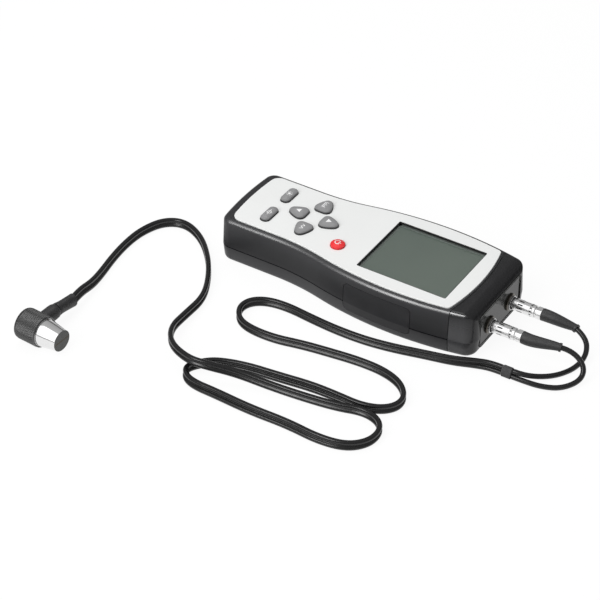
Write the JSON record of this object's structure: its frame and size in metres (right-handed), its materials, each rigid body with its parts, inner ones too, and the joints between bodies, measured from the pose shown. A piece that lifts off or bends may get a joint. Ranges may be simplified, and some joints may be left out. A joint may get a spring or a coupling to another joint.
{
  "type": "ultrasonic thickness gauge",
  "caption": "Hand-held ultrasonic thickness gauge lying on its back, with a waisted case, white keypad face, display, two push-pull plugs and a knurled contact probe on a looped twin cable.",
  "frame": {"origin": "middle of the underside of the rear case, on the surface the gauge lies on", "axes": "+Z out of the face with the display, +Y from the keypad end to the socket end, +X towards the side on which the cable and the probe lie"},
  "size_m": [0.1689, 0.2499, 0.0286],
  "materials": {
    "case": "fine satin texture",
    "cap": "polished",
    "plate": "polished",
    "panel": "smooth satin",
    "grip": "soft matt",
    "window": "clear",
    "lcd": "satin grey green",
    "diffuser": "milky",
    "frame": "plain",
    "board": "solder mask",
    "chip": "moulded",
    "coil": "varnished wire",
    "mat": "matt",
    "key": "matt",
    "key_red": "matt",
    "cell": "sleeve",
    "contact": "plated",
    "screw": "blackened",
    "socket": "polished",
    "washer": "plain",
    "nut": "plated",
    "plug_metal": "polished",
    "boot": "matt",
    "cord": "satin",
    "probe_cap": "knurled",
    "probe_metal": "polished",
    "delay": "polished",
    "barrier": "cork",
    "crystal": "silvered ceramic",
    "backing": "cast resin"
  },
  "bodies": {
    "gauge": {"front_case": "case", "rear_case": "case", "end_cap": "cap", "socket_plate": "plate", "face_panel": "panel", "side_grip_left": "grip", "side_grip_right": "grip", "display_window": "window", "display_glass": "lcd", "display_backlight": "diffuser", "display_frame": "frame", "main_board": "board", "processor_chip": "chip", "amplifier_chip": "chip", "pulser_coil": "coil", "keypad_mat": "mat", "keypad_film": "board", "battery_left": "cell", "battery_right": "cell", "battery_contacts": "contact", "battery_springs": "contact", "case_screws": "screw", "lead_splitter": "boot", "probe_cap": "probe_cap", "probe_body": "probe_metal", "probe_delay_transmit": "delay", "probe_delay_receive": "delay", "probe_crystal_transmit": "crystal", "probe_crystal_receive": "crystal", "probe_barrier": "barrier", "probe_backing": "backing", "probe_boot": "boot", "cable_wrap": "boot", "twin_cable": "cord", "socket_near": "socket", "socket_washer_near": "washer", "socket_nut_near": "nut", "plug_body_near": "plug_metal", "plug_nut_near": "plug_metal", "plug_boot_near": "boot", "lead_near": "cord", "socket_far": "socket", "socket_washer_far": "washer", "socket_nut_far": "nut", "plug_body_far": "plug_metal", "plug_nut_far": "plug_metal", "plug_boot_far": "boot", "lead_far": "cord"},
    "key_power": {"key_power": "key_red"},
    "key_up": {"key_up": "key"},
    "key_down": {"key_down": "key"},
    "key_units": {"key_units": "key"},
    "key_velocity": {"key_velocity": "key"},
    "key_backlight": {"key_backlight": "key"},
    "key_calibrate": {"key_calibrate": "key"},
    "sleeve_near": {"plug_sleeve_near": "plug_metal"},
    "sleeve_far": {"plug_sleeve_far": "plug_metal"},
    "door": {"battery_door": "case"}
  },
  "joints": [
    {"name": "press_power", "type": "slide", "parent": "gauge", "child": "key_power", "axis": [0, 0, -1], "range_m": [0, 0.0008], "stiffness_N_per_m": 1500},
    {"name": "press_up", "type": "slide", "parent": "gauge", "child": "key_up", "axis": [0, 0, -1], "range_m": [0, 0.0008], "stiffness_N_per_m": 1500},
    {"name": "press_down", "type": "slide", "parent": "gauge", "child": "key_down", "axis": [0, 0, -1], "range_m": [0, 0.0008], "stiffness_N_per_m": 1500},
    {"name": "press_units", "type": "slide", "parent": "gauge", "child": "key_units", "axis": [0, 0, -1], "range_m": [0, 0.0008], "stiffness_N_per_m": 1500},
    {"name": "press_velocity", "type": "slide", "parent": "gauge", "child": "key_velocity", "axis": [0, 0, -1], "range_m": [0, 0.0008], "stiffness_N_per_m": 1500},
    {"name": "press_backlight", "type": "slide", "parent": "gauge", "child": "key_backlight", "axis": [0, 0, -1], "range_m": [0, 0.0008], "stiffness_N_per_m": 1500},
    {"name": "press_calibrate", "type": "slide", "parent": "gauge", "child": "key_calibrate", "axis": [0, 0, -1], "range_m": [0, 0.0008], "stiffness_N_per_m": 1500},
    {"name": "release_plug_near", "type": "slide", "parent": "gauge", "child": "sleeve_near", "axis": [0, 1, 0], "range_m": [0, 0.0008], "stiffness_N_per_m": 1000},
    {"name": "release_plug_far", "type": "slide", "parent": "gauge", "child": "sleeve_far", "axis": [0, 1, 0], "range_m": [0, 0.0008], "stiffness_N_per_m": 1000},
    {"name": "slide_battery_door", "type": "slide", "parent": "gauge", "child": "door", "axis": [0, -1, 0], "range_m": [0, 0.01]}
  ]
}
